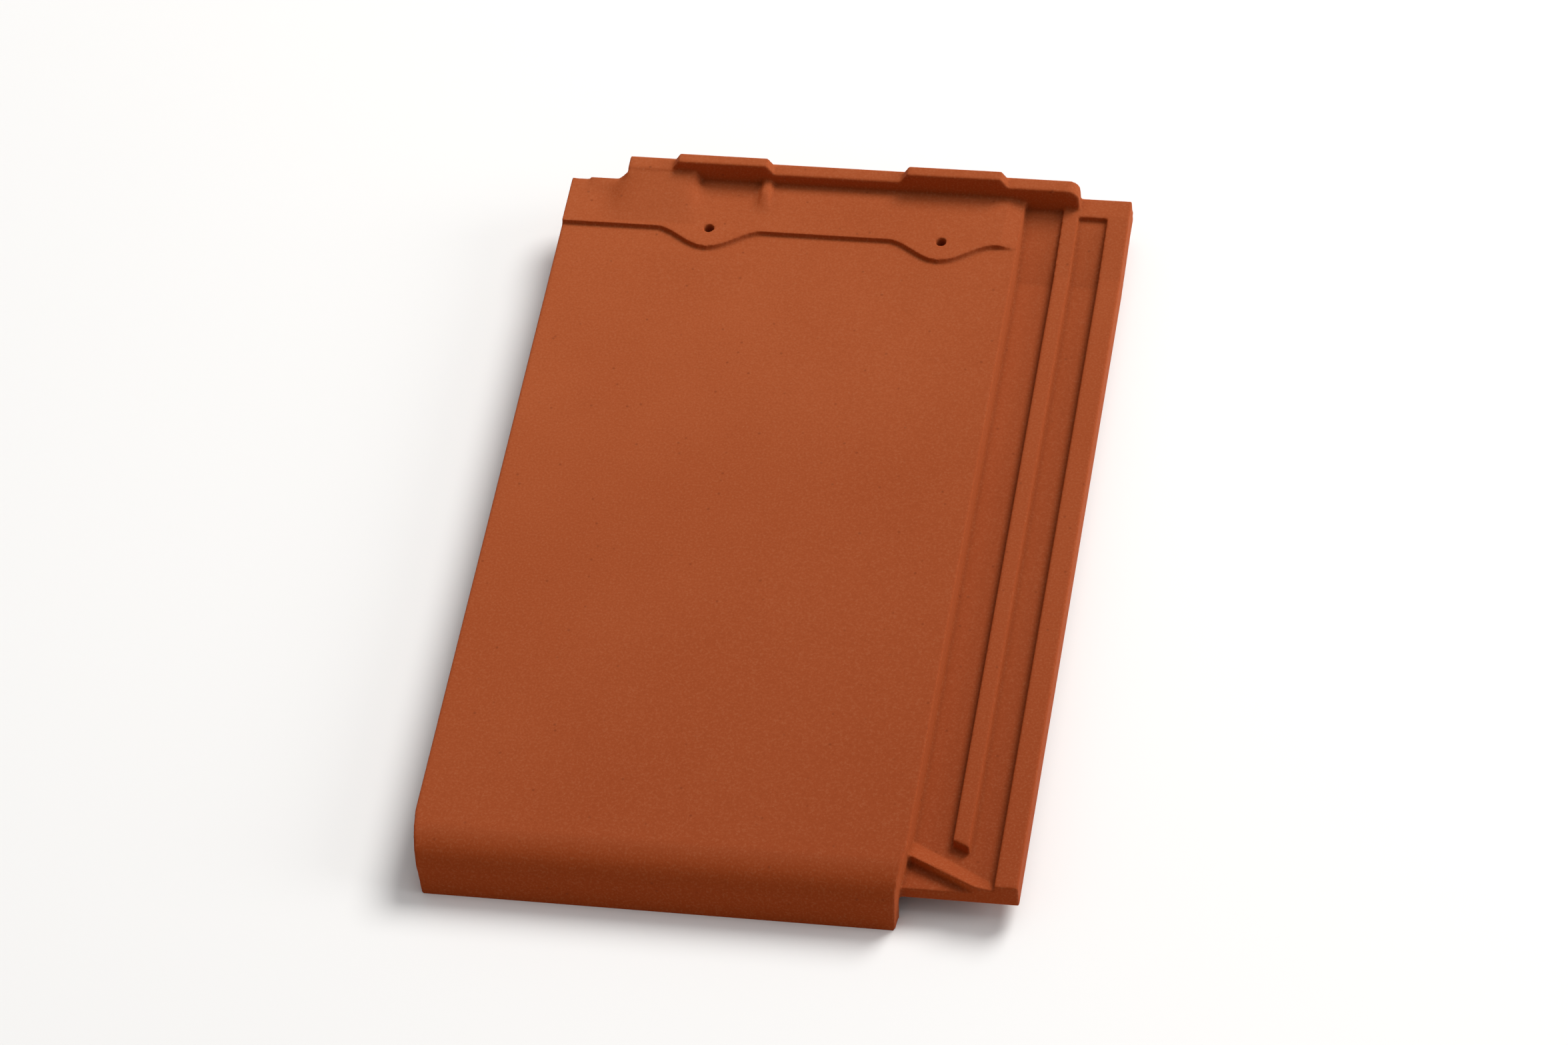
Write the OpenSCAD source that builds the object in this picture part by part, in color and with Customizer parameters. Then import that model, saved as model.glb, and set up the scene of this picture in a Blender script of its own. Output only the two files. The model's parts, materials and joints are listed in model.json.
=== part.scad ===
// Flat interlocking clay roof tile, pressed and fired as one piece.
// Lengths are in millimetres. X runs across the tile, Y runs from the nose up to the head,
// and Z is up from the floor that the tile lies on.

/* [Cover] */
// Whole length from the nose front to the back of the head rib
tile_length = 420; // [380:1:460]
// Width of the flat cover face that shows on a roof
cover_width = 222; // [214:1:236]
// Height of the cover face above the floor
cover_height = 30; // [27:0.5:36]
// Thickness of the plate under the cover face
plate_thickness = 12; // [10:0.5:14]

/* [Nose] */
// Radius that rolls the cover face over into the drop lip
nose_radius = 16; // [8:0.5:20]
// How far the foot of the lip stands out in front of its rounded top
nose_lean = 1.5; // [0.5:0.25:4]
// Thickness of the lip where it touches the floor
lip_thickness = 8; // [7:0.5:10]
// Extra thickness of the lip where it meets the plate
lip_root = 2.5; // [1:0.5:4]
// Inset of each lip end at the floor, the draft of the press mould
lip_end_inset = 1; // [0.5:0.25:4]
// Inset of each nose end at the nose front, seen from above
end_taper_inset = 3; // [0.5:0.25:4.5]
// Length of the part of the nose that narrows towards its front
end_taper_length = 24; // [18:1:28]

/* [Head zone] */
// Length of the raised head zone, back from its step line to the head
head_zone_length = 38.5; // [34:0.5:42]
// Rise of the head zone above the cover face
head_zone_rise = 2.2; // [1:0.1:3]
// Width of the slope that brings the head zone down to the right cover edge
head_zone_slope = 8; // [4:0.5:12]
// Width of each lobe that droops from the step line
lobe_width = 54; // [44:1:56]
// Depth of each lobe
lobe_depth = 12; // [8:0.5:15]

/* [Nail holes] */
// Diameter of each nail hole
hole_diameter = 5; // [4:0.25:6.5]
// Distance of the first nail hole from the left cover edge
hole_inset = 72.5; // [66:0.5:76]
// Distance of the second nail hole from the right cover edge
second_hole_inset = 36.5; // [34:0.5:48]
// Distance of the nail holes up from the step line
hole_rise = 0; // [-2:0.5:4]

/* [Head rib] */
// Thickness of the head rib
rib_thickness = 7.5; // [6.5:0.5:10]
// Height of the head rib above the cover face
rib_rise = 9; // [7:0.5:11]
// Radius of the rib's right top corner
rib_corner_radius = 6; // [3:0.5:7]
// Extra height of the two lugs on the head rib
lug_rise = 5.5; // [3:0.5:8]
// Thickness of the lugs
lug_thickness = 6; // [4:0.5:7.5]
// Slant of each lug end, from its foot to its top
lug_draft = 3.5; // [1:0.5:5]
// Left end of the first lug, from the left cover edge
first_lug_inset = 50; // [46:1:54]
// Length of the first lug
first_lug_length = 50; // [40:1:54]
// Right end of the second lug, from the right cover edge
second_lug_inset = 8; // [4:1:16]
// Length of the second lug
second_lug_length = 52; // [40:1:54]
// Right end of the ramped pad, from the left cover edge
pad_end = 64; // [58:1:68]
// Length of the pad's ramp in front of the rib
pad_length = 27; // [20:0.5:29]
// Length of the pad's slope down to the left corner
pad_blend = 6; // [4:0.5:10]
// Height of the pad above the head zone
pad_rise = 6.4; // [5:0.1:6.6]
// Slant of the pad's right side, from its foot to its top
pad_draft = 3; // [1:0.5:5]
// Width of the small stop lug in the head channel
stop_width = 7; // [5:0.5:9]
// Length of the small stop lug
stop_length = 18; // [12:0.5:20]
// Height of the small stop lug above the head zone
stop_rise = 3; // [2:0.5:4.5]
// Slant of each side of the small stop lug
stop_draft = 2; // [0.5:0.25:2.25]
// Left end of the low bead along the corner notch
bead_inset = 9; // [5:0.5:14]
// Thickness of the low bead
bead_thickness = 4.5; // [3:0.5:6]
// Height of the low bead above the head zone
bead_rise = 1.6; // [0.8:0.1:2.4]

/* [Side lock] */
// Open joint between two laid tiles' cover faces
joint_gap = 2; // [1:0.25:4]
// Width of the inner channel beside the cover
inner_channel_width = 18.5; // [15:0.5:21]
// Width of the inner side rib
inner_rib_width = 7.5; // [6:0.5:9]
// Width of the outer channel
outer_channel_width = 14; // [12:0.5:16]
// Width of the outer side rib
outer_rib_width = 10.5; // [8:0.5:14]
// Depth of the channel floors below the cover face
channel_drop = 13; // [12:0.25:14]
// Thickness of the flange under the channels
flange_thickness = 7; // [6:0.25:8]
// Height of the two side ribs above the channel floors
side_rib_rise = 6; // [4.5:0.25:6.5]
// Set-back of the inner rib's lower end behind the nose front
inner_rib_setback = 35; // [32:0.5:40]
// Length of the bar that closes the head of the outer channel
end_bar_length = 12; // [9:0.5:14]
// Rise of the side ribs at their head
head_lift = 4; // [2:0.25:4.5]
// Rise of the channel floors at their head
channel_lift = 7.5; // [5:0.25:8]
// Length of the slope that makes these rises
lift_length = 36; // [12:1:48]
// Width of the web that carries the flange
web_width = 12; // [10:0.5:14]

/* [Drain ridge] */
// Set-back of the slanting ridge where it leaves the cover
ridge_setback = 25; // [22:0.5:27]
// Reach of the ridge across the channels
ridge_reach = 31; // [26:0.5:33]
// Height of the ridge beside the cover
ridge_height = 6; // [4:0.25:6]
// Height of the ridge at its low end
ridge_end_height = 5; // [3:0.25:5.5]
// Length of the ridge's back slope
ridge_back = 11; // [7:0.5:13]

/* [Cover lock] */
// Clearance beside the next tile's side ribs
side_clearance = 3; // [2:0.25:3.5]
// Clearance beside the end of the next tile's head rib
notch_clearance = 4; // [3:0.5:6]
// Clearance between the side lock's lower end and the next tile's drop lip
lip_clearance = 0.5; // [0.25:0.25:3]
// Clearance above the next tile's side ribs and channel floors
rise_clearance = 0.7; // [0.5:0.1:1.5]

/* [Underside] */
// Distance of the first hanging nib from the left edge
nib_inset = 62; // [58:1:68]
// Length of each hanging nib across the tile
nib_length = 40; // [30:1:48]
// Distance of the second hanging nib from the right cover edge
second_nib_inset = 18; // [14:1:26]
// Thickness of each nib at its root
nib_root = 15; // [13:0.5:17]
// Thickness of each nib at its tip
nib_tip = 10; // [8:0.5:12]
// Distance of the nibs' bearing faces from the back of the head
nib_setback = 25; // [24:0.5:27]
// Thickness of the cross rib behind the lip
foot_rib_thickness = 8; // [6:0.5:9]
// Distance of the cross rib behind the nose front
foot_rib_setback = 26; // [24:0.5:28]
// Depth of the cross rib below the plate
foot_rib_drop = 9; // [6:0.5:10]
// Width of each long stiffening rib
long_rib_width = 8; // [6:0.5:10]
// Depth of each long stiffening rib
long_rib_drop = 3.5; // [2:0.25:4]
// Distance of the long ribs' upper ends from the back of the head
long_rib_setback = 90; // [82:1:110]

/* [Hidden] */
// Overrun of every cut past the face it opens
overrun = 1;
// Overlap of pieces that are pressed in one with each other
bite = 1;
// Number of straight pieces in each lobe's curve
lobe_steps = 24;
// Half turn, for the lobe's curve
half_turn = 180;
// Share of a span that lies on each side of its middle
half_share = 0.5;
// Shares of the cover's width where the long ribs run
long_rib_shares = [0.36, 0.55, 0.74];

tile_width = cover_width + inner_channel_width + inner_rib_width + outer_channel_width + outer_rib_width;
plate_under = cover_height - plate_thickness;
nose_centre_y = nose_radius + nose_lean;
nose_centre_z = cover_height - nose_radius;
lip_back = nose_centre_y + lip_thickness;
lip_inside = lip_thickness + lip_root;
flange_setback = lip_inside + lip_clearance;
end_taper_turn = atan2(end_taper_inset, end_taper_length);
head_top = cover_height + head_zone_rise;
step_y = tile_length - head_zone_length;
hole_y = step_y + hole_rise;
second_hole_x = cover_width - second_hole_inset;
rib_front = tile_length - rib_thickness;
rib_top = cover_height + rib_rise;
rib_end = cover_width + inner_channel_width + inner_rib_width;
lug_top = rib_top + lug_rise;
second_lug_x = cover_width - second_lug_inset - second_lug_length;
channel_z = cover_height - channel_drop;
flange_under = channel_z - flange_thickness;
side_rib_top = channel_z + side_rib_rise;
inner_rib_x = cover_width + inner_channel_width;
outer_rib_x = rib_end + outer_channel_width;
web_x = cover_width - web_width;
lift_end = tile_length - end_bar_length;
lift_start = lift_end - lift_length;
pitch = cover_width + joint_gap;
lock_zone_width = tile_width - pitch + side_clearance;
lock_under = side_rib_top + rise_clearance;
down_rib_z = channel_z + rise_clearance;
edge_rib_width = inner_rib_x - pitch - side_clearance;
second_rib_inset = rib_end - pitch + side_clearance;
second_rib_width = outer_channel_width - side_clearance - side_clearance;
notch_width = rib_end - pitch + notch_clearance;
notch_depth = rib_thickness + side_clearance;
notch_y = tile_length - notch_depth;
hood_under = lock_under + head_lift;
ridge_fall = ridge_setback - flange_setback;
ridge_length = sqrt(ridge_reach * ridge_reach + ridge_fall * ridge_fall);
ridge_turn = atan2(ridge_fall, ridge_reach);
ridge_dip = atan2(ridge_height - ridge_end_height, ridge_length);
nib_face = tile_length - nib_setback;
second_nib_x = cover_width - second_nib_inset - nib_length;
stop_x = first_lug_inset + first_lug_length - stop_width;
stop_top = head_top + stop_rise;
pad_top = head_top + pad_rise;

// Presses a section drawn in Y and Z along the width
module across(start, width) {
    translate([start, 0, 0])
        rotate([90, 0, 90])
            linear_extrude(height = width)
                children();
}

// Presses a section drawn in X and Z along the length
module along(start, length) {
    translate([0, start + length, 0])
        rotate([90, 0, 0])
            linear_extrude(height = length)
                children();
}

// Plain block between two corners
module block(low, high) {
    translate(low)
        cube(high - low);
}

// Section of the main plate, with the left cover lock and the right web
module plate_section() {
    polygon([
        [0, cover_height],
        [cover_width, cover_height],
        [cover_width, flange_under],
        [web_x, flange_under],
        [web_x, plate_under],
        [lock_zone_width, plate_under],
        [lock_zone_width, lock_under],
        [second_rib_inset + second_rib_width, lock_under],
        [second_rib_inset + second_rib_width, down_rib_z],
        [second_rib_inset, down_rib_z],
        [second_rib_inset, lock_under],
        [edge_rib_width, lock_under],
        [edge_rib_width, down_rib_z],
        [0, down_rib_z]
    ]);
}

// Main plate from the nose to the back of the head
module plate() {
    along(nose_centre_y, tile_length - nose_centre_y)
        plate_section();
}

// Rounded top corner of the nose
module nose_corner() {
    intersection() {
        translate([nose_centre_y, nose_centre_z])
            circle(r = nose_radius);
        translate([nose_lean, nose_centre_z - bite])
            square([nose_radius + bite, nose_radius + bite]);
    }
}

// Section of the nose with its drop lip
module nose_section() {
    union() {
        polygon([
            [0, 0],
            [lip_thickness, 0],
            [lip_inside, plate_under],
            [lip_back, plate_under],
            [lip_back, cover_height],
            [nose_centre_y, cover_height],
            [nose_centre_y, nose_centre_z],
            [nose_lean, nose_centre_z]
        ]);
        nose_corner();
    }
}

// Nose roll and drop lip
module nose() {
    across(0, cover_width)
        nose_section();
}

// Wedge that narrows one end of the nose towards its front and towards the floor
module end_wedge() {
    translate([0, end_taper_length, 0])
        rotate([0, 0, end_taper_turn])
            along(-end_taper_length * 2, end_taper_length * 2)
                polygon([
                    [-end_taper_length, cover_height + overrun],
                    [0, cover_height + overrun],
                    [0, cover_height],
                    [lip_end_inset, 0],
                    [lip_end_inset, -overrun],
                    [-end_taper_length, -overrun]
                ]);
}

// Plate and nose with both nose ends narrowed
module cover_body() {
    difference() {
        union() {
            plate();
            nose();
        }
        end_wedge();
        translate([cover_width, 0, 0])
            mirror([1, 0, 0])
                end_wedge();
    }
}

// Curve of one lobe, listed from left to right
function lobe_points(middle) = [
    for (i = [0 : lobe_steps])
        let (place = i / lobe_steps - half_share)
        [
            middle + place * lobe_width,
            step_y - lobe_depth * half_share * (1 + cos(2 * half_turn * place))
        ]
];

// Raised head zone with its two drooping lobes and its slope at the right
module head_zone() {
    intersection() {
        translate([0, 0, cover_height - bite])
            linear_extrude(height = head_zone_rise + bite)
                polygon(concat(
                    [[0, step_y]],
                    lobe_points(hole_inset),
                    lobe_points(second_hole_x),
                    [[cover_width, step_y],
                     [cover_width, tile_length],
                     [0, tile_length]]
                ));
        along(step_y - lobe_depth - overrun, head_zone_length + lobe_depth + overrun)
            polygon([
                [0, cover_height - bite],
                [0, head_top],
                [cover_width - head_zone_slope, head_top],
                [cover_width, cover_height],
                [cover_width, cover_height - bite]
            ]);
    }
}

// Front view of the head rib, with its rounded right corner
module rib_section() {
    union() {
        polygon([
            [notch_width, plate_under + bite],
            [notch_width, rib_top],
            [rib_end - rib_corner_radius, rib_top],
            [rib_end - rib_corner_radius, rib_top - rib_corner_radius],
            [rib_end, rib_top - rib_corner_radius],
            [rib_end, flange_under + head_lift + bite],
            [web_x, flange_under + head_lift + bite],
            [web_x, plate_under + bite]
        ]);
        intersection() {
            translate([rib_end - rib_corner_radius, rib_top - rib_corner_radius])
                circle(r = rib_corner_radius);
            translate([rib_end - rib_corner_radius - bite, rib_top - rib_corner_radius - bite])
                square([rib_corner_radius + bite, rib_corner_radius + bite]);
        }
    }
}

// One lug on top of the head rib, with slanting ends
module lug(start, length) {
    along(rib_front, lug_thickness)
        polygon([
            [start, rib_top - bite],
            [start, rib_top],
            [start + lug_draft, lug_top],
            [start + length - lug_draft, lug_top],
            [start + length, rib_top],
            [start + length, rib_top - bite]
        ]);
}

// Head rib with its two lugs
module head_rib() {
    along(rib_front, rib_thickness)
        rib_section();
    lug(first_lug_inset, first_lug_length);
    lug(second_lug_x, second_lug_length);
}

// Pad that ramps up to the rib at the left and slopes down to the corner
module pad() {
    intersection() {
        across(notch_width - pad_blend, pad_end - notch_width + pad_blend)
            polygon([
                [rib_front - pad_length, cover_height],
                [rib_front - pad_length, head_top],
                [rib_front, pad_top],
                [rib_front + bite, pad_top],
                [rib_front + bite, cover_height]
            ]);
        along(rib_front - pad_length, pad_length + bite)
            polygon([
                [notch_width - pad_blend, cover_height],
                [notch_width - pad_blend, head_top],
                [notch_width, pad_top],
                [pad_end - pad_draft, pad_top],
                [pad_end, head_top],
                [pad_end, cover_height]
            ]);
    }
}

// Low bead along the notch at the left head corner
module corner_bead() {
    block([bead_inset, notch_y - bead_thickness, cover_height],
          [notch_width + bite, notch_y + bite, head_top + bead_rise]);
}

// Small stop lug in the head channel, with a ramp in front and slanting sides
module stop_lug() {
    intersection() {
        across(stop_x, stop_width)
            polygon([
                [rib_front - stop_length, cover_height],
                [rib_front - stop_length, head_top],
                [rib_front - stop_length * half_share, stop_top],
                [rib_front + bite, stop_top],
                [rib_front + bite, cover_height]
            ]);
        along(rib_front - stop_length, stop_length + bite)
            polygon([
                [stop_x, cover_height],
                [stop_x, head_top],
                [stop_x + stop_draft, stop_top],
                [stop_x + stop_width - stop_draft, stop_top],
                [stop_x + stop_width, head_top],
                [stop_x + stop_width, cover_height]
            ]);
    }
}

// Long section that runs level and then rises to the head of the side lock
module lifted_section(low, high, high_lift) {
    polygon([
        [flange_setback, low],
        [flange_setback, high],
        [lift_start, high],
        [lift_end, high + high_lift],
        [tile_length, high + high_lift],
        [tile_length, low + head_lift],
        [lift_end, low + head_lift],
        [lift_start, low]
    ]);
}

// Flange that carries the two side channels
module flange() {
    across(web_x + bite, outer_rib_x + bite - web_x - bite)
        lifted_section(flange_under, channel_z, channel_lift);
}

// Slanting cut that ends the inner rib, level with the drain ridge
module slant_cut() {
    translate([inner_rib_x, inner_rib_setback, channel_z])
        rotate([0, 0, -ridge_turn])
            translate([-inner_channel_width, -inner_rib_setback, 0])
                cube([inner_channel_width * 2 + inner_rib_width, inner_rib_setback, cover_height]);
}

// Inner and outer side ribs and the bar that closes the outer channel
module side_ribs() {
    difference() {
        across(inner_rib_x, inner_rib_width)
            lifted_section(channel_z - bite, side_rib_top, head_lift);
        slant_cut();
    }
    across(outer_rib_x, outer_rib_width)
        lifted_section(flange_under, side_rib_top, head_lift);
    block([rib_end - bite, lift_end, channel_z + head_lift - bite],
          [outer_rib_x + bite, tile_length, side_rib_top + head_lift]);
}

// Slanting ridge that turns the water out of the channels
module drain_ridge() {
    intersection() {
        translate([cover_width, ridge_setback, channel_z])
            rotate([0, 0, -ridge_turn])
                rotate([0, ridge_dip, 0])
                    across(-web_width, ridge_length + web_width + inner_rib_width)
                        polygon([
                            [0, -flange_thickness * half_share],
                            [0, ridge_height],
                            [ridge_back, 0],
                            [ridge_back, -flange_thickness * half_share]
                        ]);
        block([web_x + bite, flange_setback, flange_under],
              [outer_rib_x, tile_length * half_share, cover_height - bite]);
    }
}

// Section of the hollow that follows a rise at the head of the next tile's side lock
module hood_section(low, high) {
    polygon([
        [lift_start - side_clearance, -overrun],
        [lift_start - side_clearance, low],
        [lift_end - side_clearance, high],
        [tile_length + overrun, high],
        [tile_length + overrun, -overrun]
    ]);
}

// Hollow under the left head corner that clears the next tile's raised side lock
module hood_hollow() {
    across(-overrun, edge_rib_width + overrun)
        hood_section(down_rib_z, down_rib_z + channel_lift);
    across(edge_rib_width, lock_zone_width - edge_rib_width)
        hood_section(lock_under, hood_under);
}

// Hollow behind the left end of the lip that clears the next tile's drain ridge and rib ends
module ridge_hollow() {
    block([-overrun, lip_inside, -overrun],
          [lock_zone_width, ridge_setback + ridge_back + side_clearance, lock_under]);
}

// One hanging nib, with an upright face towards the nose
module nib(start) {
    across(start, nib_length)
        polygon([
            [nib_face, 0],
            [nib_face, plate_under + bite],
            [nib_face + nib_root, plate_under + bite],
            [nib_face + nib_root, plate_under],
            [nib_face + nib_tip, 0]
        ]);
}

// Cross rib behind the lip and the long stiffening ribs
module under_ribs() {
    block([lock_zone_width, foot_rib_setback, plate_under - foot_rib_drop],
          [web_x + bite, foot_rib_setback + foot_rib_thickness, plate_under + bite]);
    for (share = long_rib_shares)
        block([cover_width * share - long_rib_width * half_share, foot_rib_setback + bite,
               plate_under - long_rib_drop],
              [cover_width * share + long_rib_width * half_share, tile_length - long_rib_setback,
               plate_under + bite]);
}

// Notch at the left head corner
module head_notch() {
    block([-overrun, notch_y, -overrun],
          [notch_width, tile_length + overrun, lug_top + overrun]);
}

// One nail hole
module nail_hole(place) {
    translate([place, hole_y, plate_under - overrun])
        cylinder(d = hole_diameter, h = plate_thickness + head_zone_rise + overrun + overrun);
}

// The whole tile, centred over the floor
module roof_tile() {
    color("#A9562F")
        translate([-tile_width * half_share, -tile_length * half_share, 0])
            difference() {
                union() {
                    cover_body();
                    head_zone();
                    head_rib();
                    pad();
                    corner_bead();
                    stop_lug();
                    flange();
                    side_ribs();
                    drain_ridge();
                    nib(nib_inset);
                    nib(second_nib_x);
                    under_ribs();
                }
                head_notch();
                hood_hollow();
                ridge_hollow();
                nail_hole(hole_inset);
                nail_hole(second_hole_x);
            }
}

roof_tile();
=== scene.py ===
"""Looks of one flat interlocking clay roof tile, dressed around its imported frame.

Lengths that describe the tile are in millimetres, and points are in metres in the row frame:
X across the tile towards the side lock, Y from the nose up to the head, Z up from the floor.
"""

import json
import logging
import math
from dataclasses import dataclass, field
from enum import Enum
from typing import Any, Protocol

import bmesh
import bpy
import numpy as np
from mathutils import Matrix, Vector

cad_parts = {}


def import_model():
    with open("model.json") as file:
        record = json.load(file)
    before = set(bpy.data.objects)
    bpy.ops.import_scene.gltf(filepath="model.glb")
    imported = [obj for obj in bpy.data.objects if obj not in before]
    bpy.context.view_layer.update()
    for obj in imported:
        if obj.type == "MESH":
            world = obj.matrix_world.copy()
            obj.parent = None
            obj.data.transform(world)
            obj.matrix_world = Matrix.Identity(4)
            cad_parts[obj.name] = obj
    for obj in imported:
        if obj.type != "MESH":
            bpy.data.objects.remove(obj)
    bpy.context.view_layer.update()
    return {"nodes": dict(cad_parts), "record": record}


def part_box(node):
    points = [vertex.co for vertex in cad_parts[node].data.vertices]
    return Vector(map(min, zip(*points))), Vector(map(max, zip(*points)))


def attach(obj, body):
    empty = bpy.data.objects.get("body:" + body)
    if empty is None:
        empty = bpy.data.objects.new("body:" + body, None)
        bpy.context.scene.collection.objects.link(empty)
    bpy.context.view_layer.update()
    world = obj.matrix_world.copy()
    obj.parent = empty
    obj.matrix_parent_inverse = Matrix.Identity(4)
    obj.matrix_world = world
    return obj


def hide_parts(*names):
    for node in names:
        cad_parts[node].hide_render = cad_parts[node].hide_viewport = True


LOG = logging.getLogger("roof_tile")

MM = 0.001
GOLDEN_ANGLE = math.pi * (3.0 - math.sqrt(5.0))
IMAGE_WIDTH = 2352
IMAGE_HEIGHT = 1568
CAD_NODE = "roof_tile"
CAD_BODY = "root"

# Sockets of the colour mix node that share their names with other data types
MIX_FIRST = 6
MIX_SECOND = 7
MIX_RESULT = 2


class MeshAttribute(Enum):
    """Values that the tile's mesh carries for its finish."""

    EDGE = "edge_share"
    # Share of painted shade in the creases
    CREASE_SHADE = "painted_crease_shade_share"


class LightRole(Enum):
    """What each studio lamp is there for."""

    KEY = "key_light"
    FILL = "fill_light"
    OVERHEAD = "overhead_light"


class Relief(Protocol):
    """A shallow form that the press or the kiln leaves on the tile."""

    def offset(self, points: np.ndarray, normals: np.ndarray) -> np.ndarray:
        """Gives how far each point moves.

        Args:
            points: Points in metres, one row each.
            normals: Normals of those points.

        Returns:
            Moves in metres, one row for each point.
        """


def linear(code: str) -> tuple[float, float, float, float]:
    """Turns an sRGB hex colour to linear light.

    Args:
        code: Six hex digits after a hash sign.

    Returns:
        Red, green, blue and full alpha.
    """
    shares = [int(code[i:i + 2], 16) / 255.0 for i in (1, 3, 5)]
    light = [s / 12.92 if s <= 0.04045 else ((s + 0.055) / 1.055) ** 2.4 for s in shares]
    return (light[0], light[1], light[2], 1.0)


def per_metre(size_mm: float) -> float:
    """Pattern scale of a real size.

    Args:
        size_mm: Size of one repeat in millimetres.

    Returns:
        Repeats for each metre.
    """
    return 1.0 / (size_mm * MM)


def ripple(points: np.ndarray, size: float, waves: int = 9, spread: float = 0.35) -> np.ndarray:
    """Smooth uneven field that is the same in each run.

    Args:
        points: Points in metres, one row each.
        size: Typical width of one rise, in metres.
        waves: Number of plane waves that are summed.
        spread: Share by which the waves differ in length.

    Returns:
        One value for each point, mostly between minus one and one.
    """
    total = np.zeros(len(points))
    for wave in range(waves):
        turn = wave * GOLDEN_ANGLE
        rise = 1.0 - 2.0 * (wave + 0.5) / waves
        flat = math.sqrt(1.0 - rise * rise)
        direction = np.array([math.cos(turn) * flat, math.sin(turn) * flat, rise])
        length = 2.0 * size * (1.0 + spread * math.sin(wave))
        total += np.sin(points @ direction * (2.0 * math.pi / length) + wave * wave)
    return total / math.sqrt(waves)


def bell(distance: np.ndarray, reach: float) -> np.ndarray:
    """Smooth rise that is one at no distance and fades away past the reach.

    Args:
        distance: Distances from the middle of the rise.
        reach: Distance at which the rise has mostly faded.

    Returns:
        One share for each distance, from zero to one.
    """
    return np.exp(-((distance / reach) ** 2))


def add_node(
    tree: bpy.types.NodeTree,
    kind: str,
    settings: dict[str | int, Any] | None = None,
    links: dict[str | int, bpy.types.NodeSocket] | None = None,
) -> bpy.types.Node:
    """Adds one shader node with its settings and links.

    Args:
        tree: Node tree that takes the node.
        kind: Blender's name for the type of node.
        settings: Values by the name of a property or by the name or place of an input.
        links: Output sockets by the name or place of the input that they feed.

    Returns:
        The new node.
    """
    node = tree.nodes.new(kind)
    for name, value in (settings or {}).items():
        if isinstance(name, str) and name in node.bl_rna.properties:
            setattr(node, name, value)
        else:
            node.inputs[name].default_value = value
    for name, socket in (links or {}).items():
        tree.links.new(socket, node.inputs[name])
    return node


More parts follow.
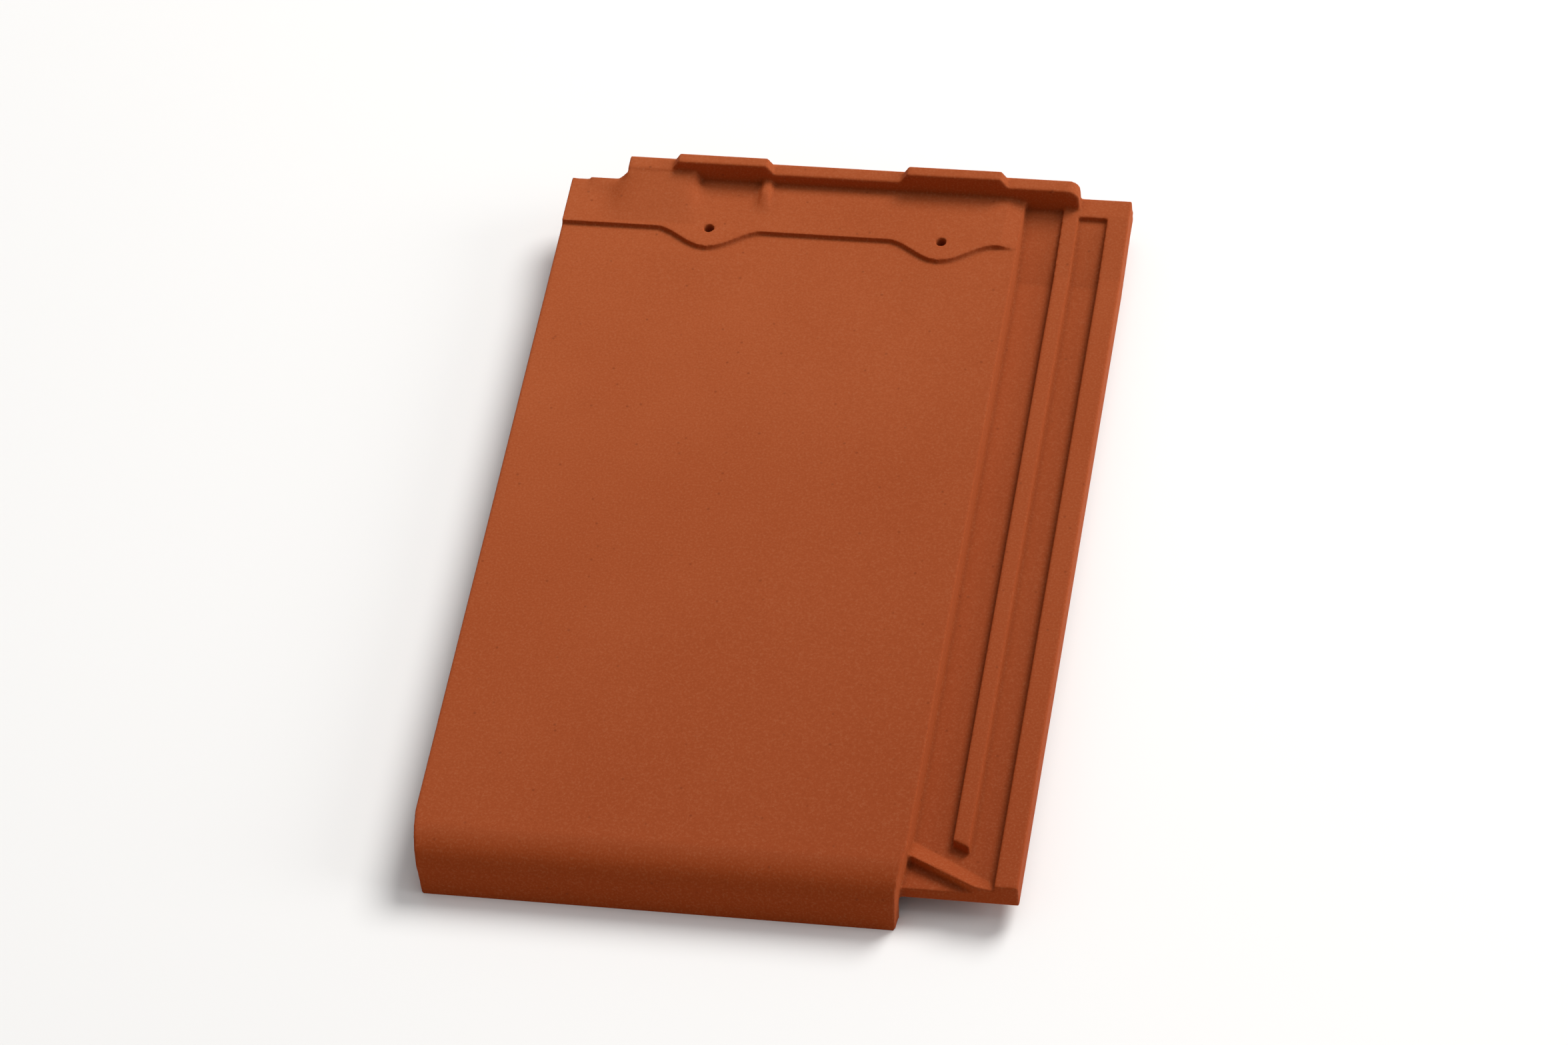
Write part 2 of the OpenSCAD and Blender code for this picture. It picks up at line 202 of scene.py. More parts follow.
@dataclass(frozen=True)
class UnglazedFiredClay:
    """Natural red roofing clay, pressed in a mould, dried and fired without a glaze."""

    name: str = "unglazed_fired_clay_pressed"
    # The fired body is an even terracotta with faint clouds, lighter at one corner than at the other
    body: str = "#B1582F"
    cloud: str = "#B96036"
    deep: str = "#9C4622"
    # Painted shade: faces turned away from the key lamp take a deeper, purer red
    away: str = "#A24010"
    # Thin edges fired a little deeper than the body; creases take a painted dark shade, and the same tint
    # marks the dark grit
    thin_edge: str = "#9A4420"
    crease_shade_and_dark_grit: str = "#7A3414"
    # Painted shade: corners that the tile itself occludes take a deeper tone
    painted_corner_shade: str = "#A04C1E"
    # Iron and grog show as scattered specks
    speck: str = "#6E2E15"
    grog: str = "#C98A62"
    cloud_mm: float = 90.0
    cloud_detail: float = 4.0
    cloud_roughness: float = 0.55
    # Noise values between which the clouds fade in
    cloud_fade: tuple[float, float] = (0.3, 0.7)
    # The tone deepens across towards the side lock and down towards the nose
    drift_across: float = 0.35
    drift_along: float = -0.65
    drift_reach: float = 0.9
    drift_share: float = 0.9
    # Clay grit is about 0.3 mm wide, drawn coarser here so that it shows
    grit_mm: float = 1.1
    grit_detail: float = 3.0
    grit_roughness: float = 0.6
    grit_height_mm: float = 0.10
    grit_strength: float = 0.6
    # Noise values at which the grit is plain, darkest and palest, and how much of its tints shows
    grit_middle: float = 0.5
    grit_dark: float = 0.2
    grit_pale: float = 0.8
    grit_share: float = 0.22
    speck_spacing_mm: float = 9.0
    speck_mm: float = 0.9
    speck_core: float = 0.4
    speck_share: float = 0.35
    # The pressed skin is slightly uneven
    skin_mm: float = 6.0
    skin_detail: float = 2.0
    skin_roughness: float = 0.5
    skin_height_mm: float = 0.12
    skin_strength: float = 0.5
    roughness: float = 0.82
    roughness_spread: float = 0.07
    ior: float = 1.5
    specular: float = 0.06
    diffuse_roughness: float = 0.7
    # Direction away from the key lamp, and how far a face turns to it as its painted shade deepens
    painted_shade_side: tuple[float, float, float] = (-0.65, -0.76, 0.0)
    painted_shade_turn: tuple[float, float] = (0.15, 0.85)
    painted_shade_share: float = 0.95
    edge_share: float = 0.4
    painted_crease_shade_share: float = 0.9
    # Openness of a place at which its painted corner shade begins and is full
    corner_shade_openness: tuple[float, float] = (0.95, 0.55)
    corner_shade_rays: int = 8
    corner_shade_mm: float = 6.0
    corner_shade_share: float = 0.25

    def build(self, reach: Vector) -> bpy.types.Material:
        """Makes the clay's node material.

        Args:
            reach: Half sizes of the tile in metres, over which the fire's tone changes.

        Returns:
            The finished material.
        """
        material = bpy.data.materials.new(self.name)
        material.use_nodes = True
        tree = material.node_tree
        tree.nodes.clear()
        place = add_node(tree, "ShaderNodeTexCoord").outputs["Object"]
        colour = self.body_colour(tree, place, reach)
        colour = self.painted_shade_colour(tree, colour)
        colour = self.painted_corner_shade_colour(tree, colour)
        colour = self.edge_tone_and_crease_shade(tree, colour)
        grit = add_node(
            tree, "ShaderNodeTexNoise",
            {
                "Scale": per_metre(self.grit_mm),
                "Detail": self.grit_detail,
                "Roughness": self.grit_roughness,
            },
            {"Vector": place},
        ).outputs["Fac"]
        colour = self.grit_colour(tree, colour, place, grit)
        rough = add_node(
            tree, "ShaderNodeMapRange",
            {
                "To Min": self.roughness - self.roughness_spread,
                "To Max": self.roughness + self.roughness_spread,
            },
            {"Value": grit},
        ).outputs["Result"]
        normal = self.surface(tree, place, grit)
        shader = add_node(
            tree, "ShaderNodeBsdfPrincipled",
            {
                "IOR": self.ior,
                "Specular IOR Level": self.specular,
                "Diffuse Roughness": self.diffuse_roughness,
            },
            {"Base Color": colour, "Roughness": rough, "Normal": normal},
        )
        add_node(tree, "ShaderNodeOutputMaterial", None, {"Surface": shader.outputs["BSDF"]})
        return material

    def mix(
        self,
        tree: bpy.types.NodeTree,
        share: bpy.types.NodeSocket,
        first: bpy.types.NodeSocket,
        tint: str,
    ) -> bpy.types.NodeSocket:
        """Blends a colour towards a tint.

        Args:
            tree: Node tree that takes the blend.
            share: How much of the tint shows.
            first: Colour without the tint.
            tint: The tint as a hex colour.

        Returns:
            The blended colour.
        """
        node = add_node(
            tree, "ShaderNodeMix", {"data_type": "RGBA", MIX_SECOND: linear(tint)},
            {0: share, MIX_FIRST: first},
        )
        return node.outputs[MIX_RESULT]

    def body_colour(
        self, tree: bpy.types.NodeTree, place: bpy.types.NodeSocket, reach: Vector
    ) -> bpy.types.NodeSocket:
        """Colour of the fired body, with its clouds and its drift of tone from corner to corner.

        Args:
            tree: Node tree that takes the nodes.
            place: Object coordinates.
            reach: Half sizes of the tile in metres.

        Returns:
            The colour.
        """
        clouds = add_node(
            tree, "ShaderNodeTexNoise",
            {
                "Scale": per_metre(self.cloud_mm),
                "Detail": self.cloud_detail,
                "Roughness": self.cloud_roughness,
            },
            {"Vector": place},
        ).outputs["Fac"]
        cloud_share = add_node(
            tree, "ShaderNodeMapRange",
            {"From Min": self.cloud_fade[0], "From Max": self.cloud_fade[1]}, {"Value": clouds},
        ).outputs["Result"]
        body = add_node(
            tree, "ShaderNodeMix",
            {"data_type": "RGBA", MIX_FIRST: linear(self.body), MIX_SECOND: linear(self.cloud)},
            {0: cloud_share},
        ).outputs[MIX_RESULT]
        direction = (self.drift_across / reach.x, self.drift_along / reach.y, 0.0)
        drift = add_node(
            tree, "ShaderNodeVectorMath", {"operation": "DOT_PRODUCT", 1: direction}, {0: place}
        ).outputs["Value"]
        drift_share = add_node(
            tree, "ShaderNodeMapRange",
            {"From Min": -self.drift_reach, "From Max": self.drift_reach, "To Max": self.drift_share},
            {"Value": drift},
        ).outputs["Result"]
        return self.mix(tree, drift_share, body, self.deep)

    def painted_shade_colour(self, tree: bpy.types.NodeTree, colour: bpy.types.NodeSocket) -> bpy.types.NodeSocket:
        """Paints shade onto the faces that are turned away from the key lamp.

        Args:
            tree: Node tree that takes the nodes.
            colour: Colour of the body.

        Returns:
            The colour with its uneven firing.
        """
        facing = add_node(tree, "ShaderNodeTexCoord").outputs["Normal"]
        turned = add_node(
            tree, "ShaderNodeVectorMath", {"operation": "DOT_PRODUCT", 1: self.painted_shade_side}, {0: facing}
        ).outputs["Value"]
        share = add_node(
            tree, "ShaderNodeMapRange",
            {
                "From Min": self.painted_shade_turn[0],
                "From Max": self.painted_shade_turn[1],
                "To Max": self.painted_shade_share,
            },
            {"Value": turned},
        ).outputs["Result"]
        return self.mix(tree, share, colour, self.away)

    def painted_corner_shade_colour(
        self, tree: bpy.types.NodeTree, colour: bpy.types.NodeSocket
    ) -> bpy.types.NodeSocket:
        """Paints shade into the corners that the tile itself occludes.

        Args:
            tree: Node tree that takes the nodes.
            colour: Colour of the fired body.

        Returns:
            The colour with its painted corner shade.
        """
        openness = add_node(
            tree, "ShaderNodeAmbientOcclusion",
            {"only_local": True, "samples": self.corner_shade_rays, "Distance": self.corner_shade_mm * MM},
        ).outputs["AO"]
        share = add_node(
            tree, "ShaderNodeMapRange",
            {
                "From Min": self.corner_shade_openness[0],
                "From Max": self.corner_shade_openness[1],
                "To Max": self.corner_shade_share,
            },
            {"Value": openness},
        ).outputs["Result"]
        return self.mix(tree, share, colour, self.painted_corner_shade)

    def edge_tone_and_crease_shade(self, tree: bpy.types.NodeTree, colour: bpy.types.NodeSocket) -> bpy.types.NodeSocket:
        """Deepens the thin edges and paints shade into the creases.

        Args:
            tree: Node tree that takes the nodes.
            colour: Colour of the body.

        Returns:
            The colour with its deeper edges and painted shade in the creases.
        """
        edge = add_node(
            tree, "ShaderNodeAttribute", {"attribute_name": MeshAttribute.EDGE.value}
        ).outputs["Fac"]
        crease_shade_mask = add_node(
            tree, "ShaderNodeAttribute", {"attribute_name": MeshAttribute.CREASE_SHADE.value}
        ).outputs["Fac"]
        deepened = add_node(
            tree, "ShaderNodeMapRange", {"To Max": self.edge_share}, {"Value": edge}
        ).outputs["Result"]
        painted_crease_shade = add_node(
            tree, "ShaderNodeMapRange", {"To Max": self.painted_crease_shade_share}, {"Value": crease_shade_mask}
        ).outputs["Result"]
        colour = self.mix(tree, deepened, colour, self.thin_edge)
        return self.mix(tree, painted_crease_shade, colour, self.crease_shade_and_dark_grit)

    def grit_colour(
        self,
        tree: bpy.types.NodeTree,
        colour: bpy.types.NodeSocket,
        place: bpy.types.NodeSocket,
        grit: bpy.types.NodeSocket,
    ) -> bpy.types.NodeSocket:
        """Adds the fine grit and the scattered specks.

        Args:
            tree: Node tree that takes the nodes.
            colour: Colour of the worn body.
            place: Object coordinates.
            grit: Fine noise of the clay's grit.

        Returns:
            The finished colour.
        """
        for limit, tint in ((self.grit_dark, self.crease_shade_and_dark_grit), (self.grit_pale, self.grog)):
            share = add_node(
                tree, "ShaderNodeMapRange",
                {"From Min": self.grit_middle, "From Max": limit, "To Max": self.grit_share},
                {"Value": grit},
            ).outputs["Result"]
            colour = self.mix(tree, share, colour, tint)
        cells = add_node(
            tree, "ShaderNodeTexVoronoi", {"Scale": per_metre(self.speck_spacing_mm)}, {"Vector": place}
        ).outputs["Distance"]
        speck_reach = self.speck_mm / self.speck_spacing_mm
        speck_share = add_node(
            tree, "ShaderNodeMapRange",
            {
                "From Min": speck_reach,
                "From Max": self.speck_core * speck_reach,
                "To Max": self.speck_share,
            },
            {"Value": cells},
        ).outputs["Result"]
        return self.mix(tree, speck_share, colour, self.speck)

    def surface(
        self, tree: bpy.types.NodeTree, place: bpy.types.NodeSocket, grit: bpy.types.NodeSocket
    ) -> bpy.types.NodeSocket:
        """Fine relief of the pressed skin.

        Args:
            tree: Node tree that takes the nodes.
            place: Object coordinates.
            grit: Fine noise of the clay's grit.

        Returns:
            The bumped normal.
        """
        skin = add_node(
            tree, "ShaderNodeTexNoise",
            {
                "Scale": per_metre(self.skin_mm),
                "Detail": self.skin_detail,
                "Roughness": self.skin_roughness,
            },
            {"Vector": place},
        ).outputs["Fac"]
        broad = add_node(
            tree, "ShaderNodeBump",
            {"Strength": self.skin_strength, "Distance": self.skin_height_mm * MM}, {"Height": skin},
        ).outputs["Normal"]
        return add_node(
            tree, "ShaderNodeBump",
            {"Strength": self.grit_strength, "Distance": self.grit_height_mm * MM},
            {"Height": grit, "Normal": broad},
        ).outputs["Normal"]


@dataclass(frozen=True)
class MattePaleFloor:
    """Smooth painted studio floor, which gives a soft white ground with no gloss."""

    name: str = "matte_pale_floor_painted"
    pale: str = "#F4F3F2"
    soft: str = "#EFEEED"
    patch_mm: float = 900.0
    roughness: float = 0.9
    specular: float = 0.2

    def build(self) -> bpy.types.Material:
        """Makes the floor's material, which shows from above only.

        Returns:
            The finished material.
        """
        material = bpy.data.materials.new(self.name)
        material.use_nodes = True
        tree = material.node_tree
        tree.nodes.clear()
        place = add_node(tree, "ShaderNodeTexCoord").outputs["Object"]
        patch = add_node(
            tree, "ShaderNodeTexNoise", {"Scale": per_metre(self.patch_mm)}, {"Vector": place}
        ).outputs["Fac"]
        colour = add_node(
            tree, "ShaderNodeMix",
            {"data_type": "RGBA", MIX_FIRST: linear(self.pale), MIX_SECOND: linear(self.soft)},
            {0: patch},
        ).outputs[MIX_RESULT]
        paint = add_node(
            tree, "ShaderNodeBsdfPrincipled",
            {"Roughness": self.roughness, "Specular IOR Level": self.specular}, {"Base Color": colour},
        ).outputs["BSDF"]
        clear = add_node(tree, "ShaderNodeBsdfTransparent").outputs["BSDF"]
        back = add_node(tree, "ShaderNodeNewGeometry").outputs["Backfacing"]
        shown = add_node(tree, "ShaderNodeMixShader", None, {0: back, 1: paint, 2: clear}).outputs["Shader"]
        add_node(tree, "ShaderNodeOutputMaterial", None, {"Surface": shown})
        return material


@dataclass(frozen=True)
class KilnWarp:
    """Slow unevenness of the whole tile, which dries and shrinks in the kiln."""

    bow_mm: float = 0.25
    bow_width_mm: float = 260.0
    wave_mm: float = 0.06
    wave_width_mm: float = 60.0
    grip_mm: float = 6.0

    def offset(self, points: np.ndarray, normals: np.ndarray) -> np.ndarray:
        """Lifts and lowers the plate a little.

        Args:
            points: Points in metres, one row each.
            normals: Normals of those points; not used.

        Returns:
            Moves in metres, none at the floor.
        """
        rise = self.bow_mm * MM * ripple(points, self.bow_width_mm * MM)
        rise += self.wave_mm * MM * ripple(points, self.wave_width_mm * MM)
        grip = np.clip(points[:, 2] / (self.grip_mm * MM), 0.0, 1.0)
        moves = np.zeros_like(points)
        moves[:, 2] = rise * grip
        return moves


@dataclass(frozen=True)
class NailBoss:
    """Low swelling of the clay round and below each nail hole."""

    holes: tuple[tuple[float, float], ...]
    rise_mm: float = 0.7
    reach_mm: float = 20.0
    below_mm: float = 16.0
    top_from_mm: float = 29.0

    def offset(self, points: np.ndarray, normals: np.ndarray) -> np.ndarray:
        """Swells the upper face under each lobe.

        Args:
            points: Points in metres, one row each.
            normals: Normals of those points; not used.

        Returns:
            Moves in metres.
        """
        moves = np.zeros_like(points)
        upper = points[:, 2] > self.top_from_mm * MM
        for x, y in self.holes:
            across = points[:, 0] - x
            along = points[:, 1] - (y - self.below_mm * MM)
            distance = np.hypot(across, along)
            moves[:, 2] += np.where(upper, self.rise_mm * MM * bell(distance, self.reach_mm * MM), 0.0)
        return moves


@dataclass(frozen=True)
class MouldSeam:
    """Trimmed flash line round the tile's outer sides, where the two mould halves met."""

    low: Vector
    high: Vector
    height_mm: float = 20.0
    width_mm: float = 0.9
    proud_mm: float = 0.3
    side_mm: float = 2.0
    # Upward part of the normal past which a face no longer counts as a side
    level_limit: float = 0.4
    break_mm: float = 14.0
    break_mean: float = 0.65
    break_spread: float = 0.35
    break_most: float = 1.2

    def offset(self, points: np.ndarray, normals: np.ndarray) -> np.ndarray:
        """Raises a thin broken line on the outer sides.

        Args:
            points: Points in metres, one row each.
            normals: Normals of those points.

        Returns:
            Moves in metres, along the normals.
        """
        side = self.side_mm * MM
        outer = points[:, 0] < self.low.x + side
        outer |= points[:, 0] > self.high.x - side
        outer |= points[:, 1] > self.high.y - side
        upright = np.clip(1.0 - np.abs(normals[:, 2]) / self.level_limit, 0.0, 1.0)
        line = bell(points[:, 2] - self.height_mm * MM, self.width_mm * MM)
        broken = self.break_mean + self.break_spread * ripple(points, self.break_mm * MM)
        amount = self.proud_mm * MM * line * upright * np.clip(broken, 0.0, self.break_most)
        return normals * np.where(outer, amount, 0.0)[:, None]


@dataclass(frozen=True)
class MeltedPatch:
    """Part of the upper face whose low forms came soft out of a worn press mould."""

    # Sides of the patch, measured from the tile's left edge and from the back of its head
    left_mm: float
    right_mm: float
    front_mm: float
    back_mm: float
    passes: int
    top_from_mm: float = 29.0
    feather_mm: float = 3.0

    def weights(self, points: np.ndarray, low: Vector, high: Vector) -> np.ndarray:
        """Share of the softening that each point takes, none at the patch's border.

        Args:
            points: Points in metres, one row each.
            low: Lowest corner of the tile's box in metres.
            high: Highest corner of the tile's box in metres.

        Returns:
            One share for each point, from zero to one.
        """
        front = high.y - self.front_mm * MM
        back = high.y - self.back_mm * MM
        first = Vector((low.x + self.left_mm * MM, front, low.z + self.top_from_mm * MM))
        last = Vector((low.x + self.right_mm * MM, back, high.z))
        inside = np.minimum(points - np.array(first), np.array(last) - points).min(axis=1)
        return np.clip(inside / (self.feather_mm * MM), 0.0, 1.0)


@dataclass
class PressedTile:
    """The fired tile: one piece whose edges were softened by pressing and firing."""

    node: bpy.types.Object
    finish: UnglazedFiredClay
    reliefs: tuple[Relief, ...]
    melted: tuple[MeltedPatch, ...]
    name: str = "roof_tile_clay"
    voxel_mm: float = 0.7
    soften_passes: int = 3
    soften_share: float = 0.5
    # Share of the way to its neighbours' middle that a point goes in one pass
    pass_share: float = 0.5
    curvature_passes: int = 12
    edge_radius_mm: float = 2.2
    # Part of a rounded edge's bulge that one pass takes off, for each squared grid step
    bulge_share: float = 0.25
    shading_weight: int = 50
    triangle_budget: int = 185_000
    weld_mm: float = 0.001
    piece: bpy.types.Object = field(init=False)

    def build(self) -> bpy.types.Object:
        """Builds, dresses and seats the tile.

        Returns:
            The finished piece.
        """
        self.copy_blank()
        self.press()
        self.melt()
        self.sculpt()
        self.mark_edges_and_creases()
        self.thin()
        self.dress()
        return self.piece

    def copy_blank(self) -> None:
        """Copies the CAD solid's mesh to a new piece and welds its corners."""
        mesh = self.node.data.copy()
        mesh.name = self.name
        mesh.materials.clear()
        work = bmesh.new()
        work.from_mesh(mesh)
        bmesh.ops.remove_doubles(work, verts=work.verts, dist=self.weld_mm * MM)
        work.to_mesh(mesh)
        work.free()
        self.piece = bpy.data.objects.new(self.name, mesh)
        bpy.context.scene.collection.objects.link(self.piece)

    def keep_modifiers(self) -> None:
        """Turns what the modifiers make into the piece's own mesh."""
        depsgraph = bpy.context.evaluated_depsgraph_get()
        made = bpy.data.meshes.new_from_object(self.piece.evaluated_get(depsgraph))
        old = self.piece.data
        self.piece.modifiers.clear()
        self.piece.data = made
        bpy.data.meshes.remove(old)
        made.name = self.name

    def press(self) -> None:
        """Remeshes the solid finely and rounds its edges as a press mould does."""
        grid = self.piece.modifiers.new("clay_grid", "REMESH")
        grid.mode = "VOXEL"
        grid.voxel_size = self.voxel_mm * MM
        soft = self.piece.modifiers.new("soft_edges", "SMOOTH")
        soft.factor = self.soften_share
        soft.iterations = self.soften_passes
        self.keep_modifiers()

    def points(self) -> np.ndarray:
        """Finds the points of the piece's mesh.

        Returns:
            Points in metres, one row each.
        """
        found = np.zeros(len(self.piece.data.vertices) * 3, np.float32)
        self.piece.data.vertices.foreach_get("co", found)
        return found.reshape(-1, 3).astype(float)

    def normals(self) -> np.ndarray:
        """Finds the normals of the piece's points.

        Returns:
            Normals, one row for each point.
        """
        found = np.zeros(len(self.piece.data.vertices) * 3, np.float32)
        self.piece.data.vertex_normals.foreach_get("vector", found)
        return found.reshape(-1, 3).astype(float)

    def pairs(self) -> np.ndarray:
        """Finds which points the mesh edges join.

        Returns:
            Numbers of two points, one row for each edge.
        """
        found = np.zeros(len(self.piece.data.edges) * 2, np.int32)
        self.piece.data.edges.foreach_get("vertices", found)
        return found.reshape(-1, 2)

    def neighbour_mean(self, points: np.ndarray, pairs: np.ndarray) -> np.ndarray:
        """Middle of each point's neighbours.

        Args:
            points: Points in metres, one row each.
            pairs: Numbers of the two points of each edge.

        Returns:
            One middle for each point, or the point itself where it has no edge.
        """
        first = np.concatenate((pairs[:, 0], pairs[:, 1]))
        second = np.concatenate((pairs[:, 1], pairs[:, 0]))
        count = np.bincount(first, minlength=len(points))
        middles = points.copy()
        for axis in range(3):
            total = np.bincount(first, points[second, axis], minlength=len(points))
            middles[:, axis] = np.where(count > 0, total / np.maximum(count, 1), points[:, axis])
        return middles

    def melt(self) -> None:
        """Softens the patches whose forms came soft out of the mould."""
        points = self.points()
        pairs = self.pairs()
        low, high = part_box(CAD_NODE)
        for patch in self.melted:
            weights = self.pass_share * patch.weights(points, low, high)[:, None]
            near = pairs[(weights[pairs[:, 0], 0] > 0.0) | (weights[pairs[:, 1], 0] > 0.0)]
            for _ in range(patch.passes):
                points += weights * (self.neighbour_mean(points, near) - points)
        self.piece.data.vertices.foreach_set("co", points.astype(np.float32).ravel())
        self.piece.data.update()

    def sculpt(self) -> None:
        """Adds every relief to the mesh."""
        points = self.points()
        normals = self.normals()
        moved = points.copy()
        for relief in self.reliefs:
            moved += relief.offset(points, normals)
        self.piece.data.vertices.foreach_set("co", moved.astype(np.float32).ravel())
        self.piece.data.update()

    def mark_edges_and_creases(self) -> None:
        """Stores how sharp an edge or a corner each point lies on."""
        mesh = self.piece.data
        points = self.points()
        pairs = self.pairs()
        smooth = points.copy()
        for _ in range(self.curvature_passes):
            middles = self.neighbour_mean(smooth, pairs)
            smooth = (1.0 - self.pass_share) * smooth + self.pass_share * middles
        bulge = np.einsum("ij,ij->i", points - smooth, self.normals())
        taken = self.bulge_share * self.curvature_passes * (self.voxel_mm * MM) ** 2
        scale = taken / (self.edge_radius_mm * MM)
        # The edge share deepens thin edges, and the second share paints shade into creases
        for attribute, share in (
            (MeshAttribute.EDGE, bulge / scale),
            (MeshAttribute.CREASE_SHADE, -bulge / scale),
        ):
            layer = mesh.attributes.new(attribute.value, "FLOAT", "POINT")
            layer.data.foreach_set("value", np.clip(share, 0.0, 1.0).astype(np.float32))

    def thin(self) -> None:
        """Spends fewer triangles on the flat faces."""
        self.piece.data.calc_loop_triangles()
        made = len(self.piece.data.loop_triangles)
        if made <= self.triangle_budget:
            return
        fewer = self.piece.modifiers.new("fewer_faces", "DECIMATE")
        fewer.decimate_type = "COLLAPSE"
        fewer.ratio = self.triangle_budget / made
        self.keep_modifiers()

    def dress(self) -> None:
        """Gives the piece its clay, its shading and its place on the frame."""
        mesh = self.piece.data
        mesh.materials.clear()
        low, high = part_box(CAD_NODE)
        mesh.materials.append(self.finish.build((high - low) / 2.0))
        mesh.polygons.foreach_set("use_smooth", np.ones(len(mesh.polygons), bool))
        even = self.piece.modifiers.new("even_faces", "WEIGHTED_NORMAL")
        even.weight = self.shading_weight
        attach(self.piece, CAD_BODY)
        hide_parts(CAD_NODE)


@dataclass
class StudioLamp:
    """One soft round lamp that points at the tile, with lengths in metres."""

    role: LightRole
    direction: tuple[float, float, float]
    size: float
    watts: float
    distance: float = 6.0
    colour: str = "#FFFFFF"

    def build(self, target: Vector) -> bpy.types.Object:
        """Makes the lamp.

        Args:
            target: Point that the lamp faces.

        Returns:
            The lamp.
        """
        lamp = bpy.data.lights.new(self.role.value, "AREA")
        lamp.shape = "DISK"
        lamp.size = self.size
        lamp.energy = self.watts
        lamp.color = linear(self.colour)[:3]
        holder = bpy.data.objects.new(self.role.value, lamp)
        away = Vector(self.direction).normalized()
        holder.location = target + away * self.distance
        holder.rotation_mode = "QUATERNION"
        holder.rotation_quaternion = (-away).to_track_quat("-Z", "Y")
        bpy.context.scene.collection.objects.link(holder)
        return holder


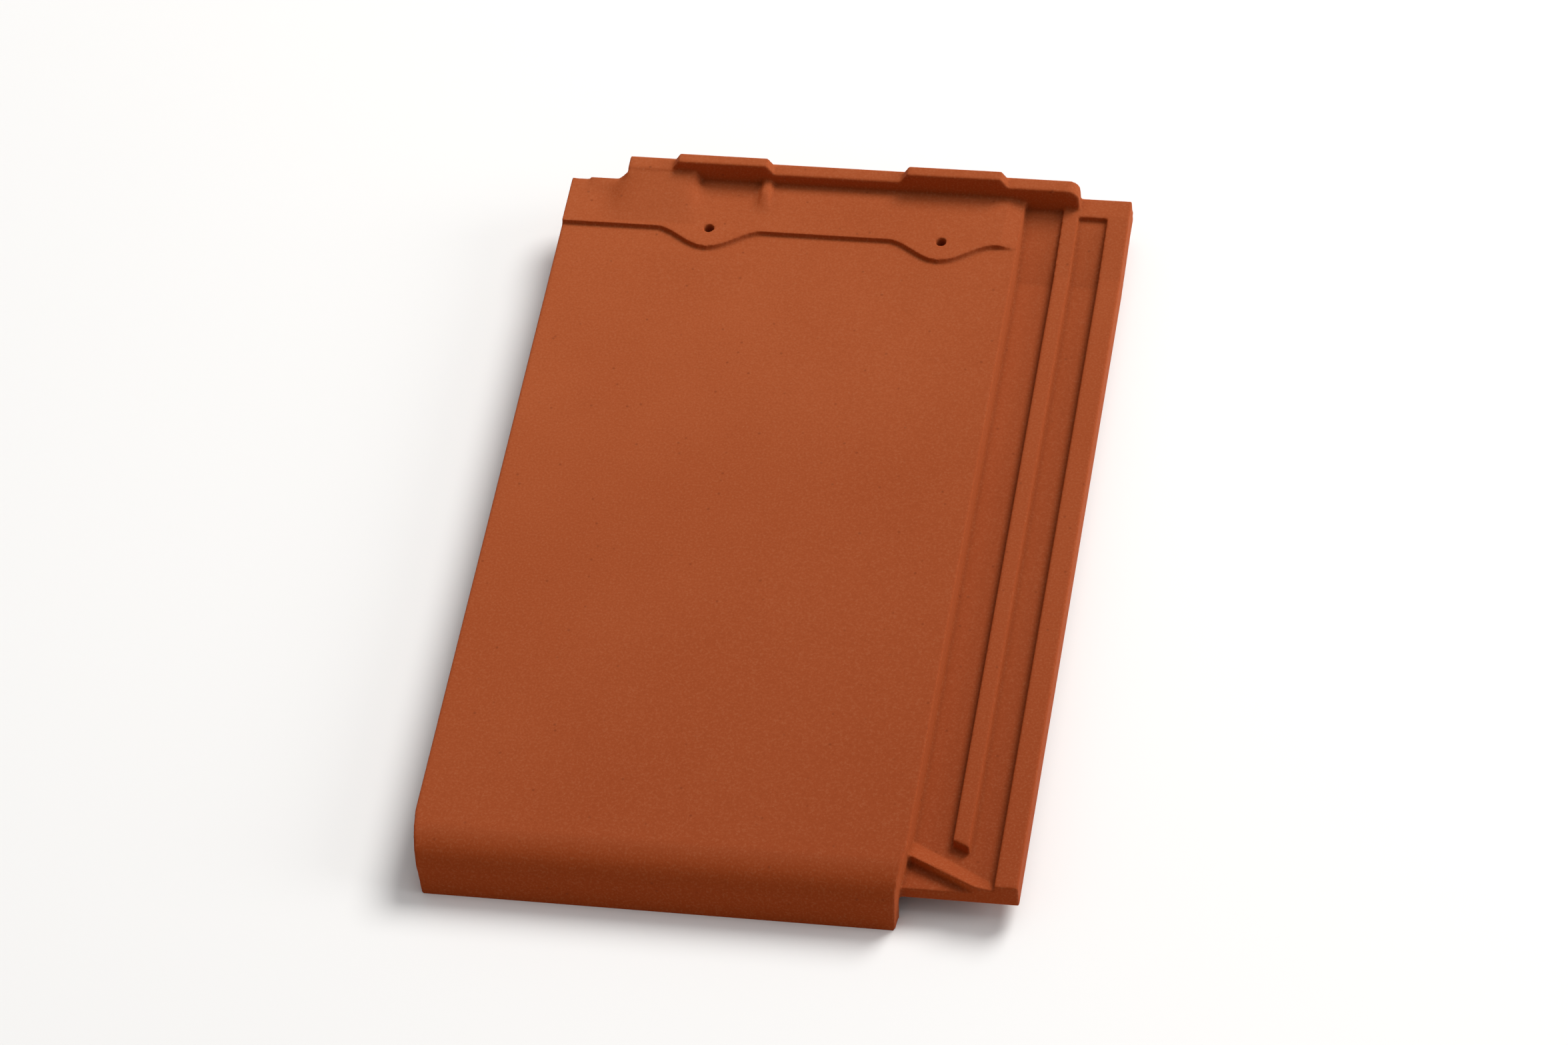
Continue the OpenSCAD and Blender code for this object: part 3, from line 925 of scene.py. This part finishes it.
@dataclass
class Studio:
    """Plain pale floor, soft lamps and the camera at the photo's viewing angle."""

    low: Vector
    high: Vector
    floor_finish: MattePaleFloor
    lamps: tuple[StudioLamp, ...]
    floor_reach: float = 12.0
    floor_steps: int = 12
    air: str = "#FFFFFF"
    air_strength: float = 0.30
    azimuth_deg: float = 15.1
    elevation_deg: float = 49.5
    roll_deg: float = -7.7
    camera_distance: float = 2.75
    sensor_mm: float = 36.0
    fill_share: float = 0.8

    def build(self) -> None:
        """Makes the whole studio."""
        self.build_floor()
        self.build_air()
        centre = (self.low + self.high) / 2.0
        for lamp in self.lamps:
            made = lamp.build(centre)
            LOG.info("lamp %s at %s", made.name, [round(v, 2) for v in made.location])
        camera = self.build_camera(centre)
        LOG.info("camera lens %.1f mm", camera.data.lens)

    def build_floor(self) -> None:
        """Lays the floor under the tile."""
        mesh = bpy.data.meshes.new("studio_floor")
        work = bmesh.new()
        bmesh.ops.create_grid(
            work, x_segments=self.floor_steps, y_segments=self.floor_steps, size=self.floor_reach
        )
        work.to_mesh(mesh)
        work.free()
        mesh.materials.append(self.floor_finish.build())
        floor = bpy.data.objects.new("studio_floor", mesh)
        floor.location.z = self.low.z
        bpy.context.scene.collection.objects.link(floor)

    def build_air(self) -> None:
        """Gives the studio its even soft light."""
        world = bpy.data.worlds.new("studio_air")
        world.use_nodes = True
        back = world.node_tree.nodes["Background"]
        back.inputs["Color"].default_value = linear(self.air)
        back.inputs["Strength"].default_value = self.air_strength
        bpy.context.scene.world = world
        bpy.context.scene.view_settings.view_transform = "Standard"

    def build_camera(self, centre: Vector) -> bpy.types.Object:
        """Sets the camera at the photo's angle, with a lens that fits the tile.

        Args:
            centre: Point that the camera looks at.

        Returns:
            The camera.
        """
        turn = math.radians(self.azimuth_deg)
        rise = math.radians(self.elevation_deg)
        away = Vector((
            math.sin(turn) * math.cos(rise),
            -math.cos(turn) * math.cos(rise),
            math.sin(rise),
        ))
        level = (-away).to_track_quat("-Z", "Y").to_matrix()
        facing = level @ Matrix.Rotation(math.radians(self.roll_deg), 3, "Z")
        lens = bpy.data.cameras.new("studio_camera")
        camera = bpy.data.objects.new("studio_camera", lens)
        camera.location = centre + away * self.camera_distance
        camera.rotation_euler = facing.to_euler()
        lens.sensor_width = self.sensor_mm
        lens.lens = self.fitted_lens(camera.location, facing)
        bpy.context.scene.collection.objects.link(camera)
        bpy.context.scene.camera = camera
        return camera

    def fitted_lens(self, eye: Vector, facing: Matrix) -> float:
        """Focal length at which the tile's box fills the wanted share of the image.

        Args:
            eye: The camera's place.
            facing: The camera's turn.

        Returns:
            The focal length in millimetres.
        """
        inward = facing.transposed()
        tall = 0.0
        for x in (self.low.x, self.high.x):
            for y in (self.low.y, self.high.y):
                for z in (self.low.z, self.high.z):
                    seen = inward @ (Vector((x, y, z)) - eye)
                    tall = max(tall, abs(seen.y / seen.z))
        return self.fill_share * 0.5 * self.sensor_mm * IMAGE_HEIGHT / IMAGE_WIDTH / tall


def nail_holes(record: dict[str, Any]) -> tuple[tuple[float, float], ...]:
    """Places of the nail holes in the row frame.

    Args:
        record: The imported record.

    Returns:
        X and Y of each hole in metres.
    """
    bores = [mount for mount in record["mounts"] if mount["kind"] == "bore"]
    return tuple((bore["pos_m"][0], bore["pos_m"][1]) for bore in bores)


def main() -> None:
    """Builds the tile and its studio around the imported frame."""
    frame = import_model()
    low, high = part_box(CAD_NODE)
    tile = PressedTile(
        node=frame["nodes"][CAD_NODE],
        finish=UnglazedFiredClay(),
        reliefs=(
            KilnWarp(),
            NailBoss(nail_holes(frame["record"])),
            MouldSeam(low, high),
        ),
        melted=(
            # Ramped pad with its low bead
            MeltedPatch(left_mm=2.0, right_mm=71.0, front_mm=36.0, back_mm=10.5, passes=120),
            # Small stop lug
            MeltedPatch(left_mm=88.0, right_mm=105.0, front_mm=30.0, back_mm=8.5, passes=14),
        ),
    )
    piece = tile.build()
    LOG.info("piece %s has %d faces", piece.name, len(piece.data.polygons))
    studio = Studio(
        low=low,
        high=high,
        floor_finish=MattePaleFloor(),
        lamps=(
            StudioLamp(LightRole.KEY, (0.43, 0.56, 0.81), size=3.0, watts=314.0, colour="#FFFEFC"),
            StudioLamp(LightRole.FILL, (0.95, 0.05, 0.40), size=3.2, watts=85.0),
            StudioLamp(LightRole.OVERHEAD, (0.10, 0.15, 1.0), size=4.0, watts=55.0),
        ),
    )
    studio.build()


if __name__ == "__main__":
    logging.basicConfig(level=logging.INFO, format="%(message)s")
    main()
